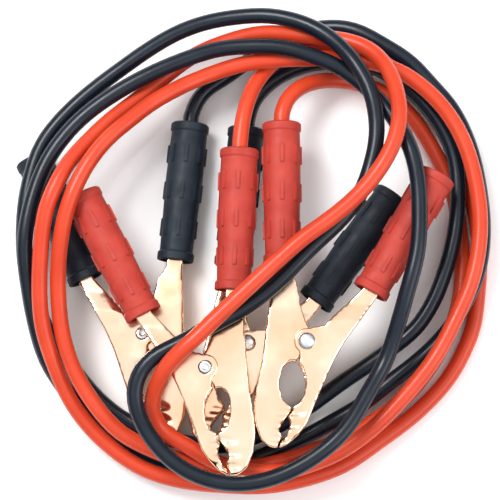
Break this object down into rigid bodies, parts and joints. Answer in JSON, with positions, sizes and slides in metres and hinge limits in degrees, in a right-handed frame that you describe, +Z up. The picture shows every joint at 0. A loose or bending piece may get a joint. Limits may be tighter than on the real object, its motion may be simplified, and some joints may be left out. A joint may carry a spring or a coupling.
{
  "type": "car jumper cable set",
  "caption": "Booster cable set for starting a car: red and black insulated cables with sprung copper-plated clamps, lying as a loose pile of rings.",
  "frame": {"origin": "on the floor under the middle of the four clamps", "axes": "+Z up, +Y from the clamps' jaws towards their grips, +X to the right seen from above"},
  "size_m": [0.229, 0.2324, 0.054],
  "materials": {
    "copper_plate": "bright copper-plated sheet steel",
    "zinc": "zinc plated",
    "spring_steel": "bright wire",
    "red_grip": "matte moulded",
    "black_grip": "matte moulded",
    "red_cable": "glossy jacket",
    "black_cable": "satin jacket"
  },
  "bodies": {
    "root": {"red_clamp_1_fixed_jaw": "copper_plate", "red_clamp_1_rivet": "zinc", "red_clamp_1_spring": "spring_steel", "red_clamp_1_cable_grip": "red_grip", "red_clamp_2_fixed_jaw": "copper_plate", "red_clamp_2_rivet": "zinc", "red_clamp_2_spring": "spring_steel", "red_clamp_2_cable_grip": "red_grip", "black_clamp_1_fixed_jaw": "copper_plate", "black_clamp_1_rivet": "zinc", "black_clamp_1_spring": "spring_steel", "black_clamp_1_cable_grip": "black_grip", "black_clamp_2_fixed_jaw": "copper_plate", "black_clamp_2_rivet": "zinc", "black_clamp_2_spring": "spring_steel", "black_clamp_2_cable_grip": "black_grip", "red_cable": "red_cable", "black_cable": "black_cable"},
    "red_clamp_1_lever": {"red_clamp_1_moving_jaw": "copper_plate", "red_clamp_1_free_grip": "red_grip"},
    "red_clamp_2_lever": {"red_clamp_2_moving_jaw": "copper_plate", "red_clamp_2_free_grip": "red_grip"},
    "black_clamp_1_lever": {"black_clamp_1_moving_jaw": "copper_plate", "black_clamp_1_free_grip": "black_grip"},
    "black_clamp_2_lever": {"black_clamp_2_moving_jaw": "copper_plate", "black_clamp_2_free_grip": "black_grip"}
  },
  "joints": [
    {"name": "red_clamp_1_hinge", "type": "hinge", "parent": "root", "child": "red_clamp_1_lever", "pos_m": [-0.01251, -0.03517, 0.02982], "axis": [-0.0008, -0.0174, -0.9998], "range_deg": [0, 20], "stiffness_Nm_per_rad": 2, "springref_deg": -20.05},
    {"name": "red_clamp_2_hinge", "type": "hinge", "parent": "root", "child": "red_clamp_2_lever", "pos_m": [0.03469, -0.02307, 0.02982], "axis": [0, 0.0175, 0.9998], "range_deg": [0, 20], "stiffness_Nm_per_rad": 2, "springref_deg": -20.05},
    {"name": "black_clamp_1_hinge", "type": "hinge", "parent": "root", "child": "black_clamp_1_lever", "pos_m": [-0.04291, -0.01817, 0.01171], "axis": [-0.0025, -0.0234, -0.9997], "range_deg": [0, 20], "stiffness_Nm_per_rad": 2, "springref_deg": -20.05},
    {"name": "black_clamp_2_hinge", "type": "hinge", "parent": "root", "child": "black_clamp_2_lever", "pos_m": [0.00709, -0.02277, 0.01171], "axis": [0.0025, 0.0234, 0.9997], "range_deg": [0, 20], "stiffness_Nm_per_rad": 2, "springref_deg": -20.05}
  ]
}
